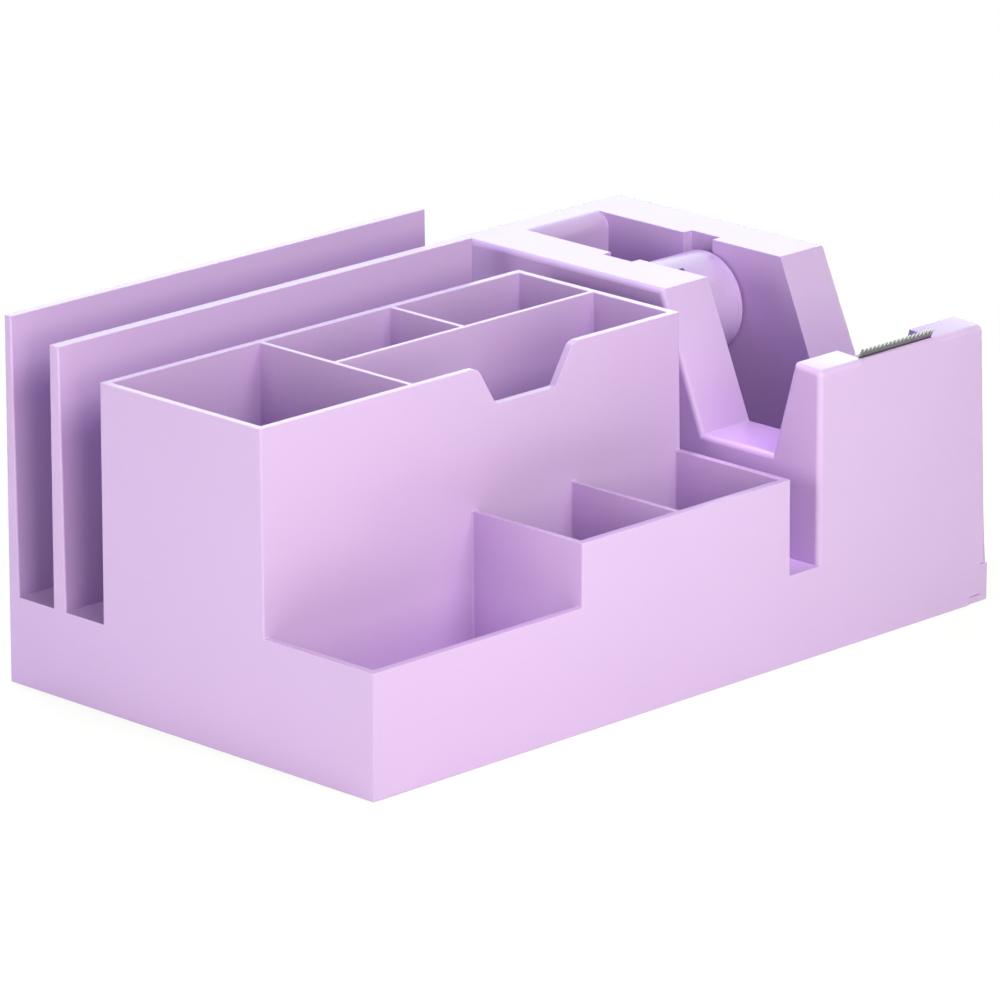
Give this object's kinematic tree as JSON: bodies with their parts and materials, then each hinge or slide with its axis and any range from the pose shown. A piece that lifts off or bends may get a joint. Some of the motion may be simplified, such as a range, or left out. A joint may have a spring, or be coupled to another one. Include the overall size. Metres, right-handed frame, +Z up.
{
  "type": "desk organizer with tape dispenser and drawer",
  "caption": "Desk organizer moulded in one with a weighted tape dispenser: upright pen cups, low front bays, file slots, a lift-out tape hub with toothed cutter, and a shallow drawer.",
  "frame": {"origin": "middle of the footprint, on the table surface under the foot pads", "axes": "+X along the front to the right, towards the side the drawer slides out of; +Y from the front to the back; +Z up"},
  "size_m": [0.2076, 0.121, 0.089],
  "materials": {
    "organizer_plastic": "smooth satin-gloss lilac moulding",
    "drawer_plastic": "smooth satin-gloss lilac moulding",
    "hub_plastic": "smooth satin-gloss lilac moulding",
    "cover_plastic": "fine matte lilac moulding",
    "blade_steel": "stamped and brushed",
    "axle_steel": "drawn bright",
    "screw_steel": "zinc plated",
    "ballast_steel": "mill scale",
    "pad_rubber": "matte"
  },
  "bodies": {
    "housing": {"base_shell": "organizer_plastic", "pen_box": "organizer_plastic", "front_tray": "organizer_plastic", "back_panel": "organizer_plastic", "middle_panel": "organizer_plastic", "tape_housing": "organizer_plastic", "cutter_blade": "blade_steel", "bottom_cover": "cover_plastic", "cover_screws": "screw_steel", "ballast_plate": "ballast_steel", "ballast_holder": "cover_plastic", "ballast_screws": "screw_steel", "foot_front_left": "pad_rubber", "foot_rear_left": "pad_rubber", "foot_front_right": "pad_rubber", "foot_rear_right": "pad_rubber"},
    "drawer": {"drawer_tray": "drawer_plastic", "drawer_front": "drawer_plastic"},
    "axle": {"hub_axle": "axle_steel"},
    "hub": {"hub_barrel": "hub_plastic", "hub_cap_left": "hub_plastic", "hub_cap_right": "hub_plastic"}
  },
  "joints": [
    {"name": "drawer_slide", "type": "slide", "parent": "housing", "child": "drawer", "axis": [1, 0, 0], "range_m": [0, 0.13]},
    {"name": "axle_lift", "type": "slide", "parent": "housing", "child": "axle", "axis": [0, 0, 1], "range_m": [0, 0.04]},
    {"name": "hub_spin", "type": "hinge", "parent": "axle", "child": "hub", "pos_m": [0.0725, 0.0156, 0.0639], "axis": [1, 0, 0], "continuous": true}
  ]
}
